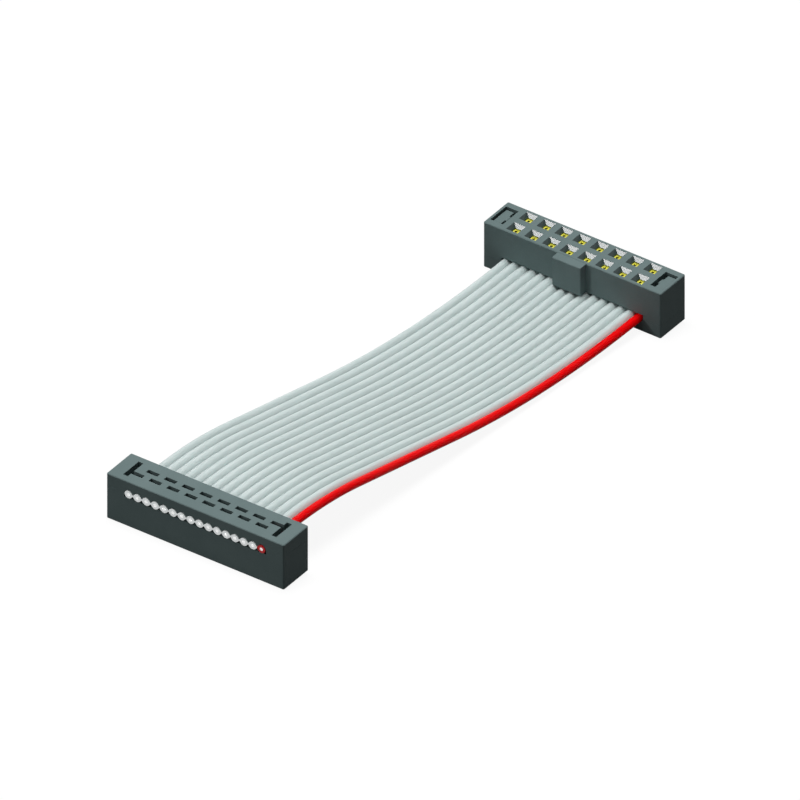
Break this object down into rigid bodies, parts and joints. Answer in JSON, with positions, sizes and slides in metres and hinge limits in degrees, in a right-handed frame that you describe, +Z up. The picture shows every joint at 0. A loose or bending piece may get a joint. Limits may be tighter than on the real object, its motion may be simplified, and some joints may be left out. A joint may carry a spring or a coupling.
{
  "type": "idc ribbon cable assembly",
  "caption": "Short flat ribbon cable with a keyed two-row insulation displacement socket pressed on to each end, one face up and one face down.",
  "frame": {"origin": "centre of the box's footprint, on the surface that the assembly lies on", "axes": "+Z up off that surface; the wires run along Y, from the socket with its openings down, which is the left one of the picture, at -Y, to the one with its openings up, the right one, at +Y; X is across the wires with the red edge at +X. The whole assembly leans 5.93 degrees about X, because it lies on the outer long edges of its two connectors."},
  "size_m": [0.0254, 0.082, 0.0069],
  "materials": {
    "slate_plastic": "moulded, satin",
    "grey_pvc": "extruded, smooth satin",
    "red_pvc": "extruded, smooth satin",
    "gold_contact": "gold plated, bright"
  },
  "bodies": {
    "root": {"cable_cover_left": "slate_plastic", "cable_cover_right": "slate_plastic", "contact_left_01": "gold_contact", "contact_left_02": "gold_contact", "contact_left_03": "gold_contact", "contact_left_04": "gold_contact", "contact_left_05": "gold_contact", "contact_left_06": "gold_contact", "contact_left_07": "gold_contact", "contact_left_08": "gold_contact", "contact_left_09": "gold_contact", "contact_left_10": "gold_contact", "contact_left_11": "gold_contact", "contact_left_12": "gold_contact", "contact_left_13": "gold_contact", "contact_left_14": "gold_contact", "contact_left_15": "gold_contact", "contact_left_16": "gold_contact", "contact_right_01": "gold_contact", "contact_right_02": "gold_contact", "contact_right_03": "gold_contact", "contact_right_04": "gold_contact", "contact_right_05": "gold_contact", "contact_right_06": "gold_contact", "contact_right_07": "gold_contact", "contact_right_08": "gold_contact", "contact_right_09": "gold_contact", "contact_right_10": "gold_contact", "contact_right_11": "gold_contact", "contact_right_12": "gold_contact", "contact_right_13": "gold_contact", "contact_right_14": "gold_contact", "contact_right_15": "gold_contact", "contact_right_16": "gold_contact", "red_edge_wire": "red_pvc", "ribbon_cable": "grey_pvc", "socket_housing_left": "slate_plastic", "socket_housing_right": "slate_plastic"}
  },
  "joints": []
}
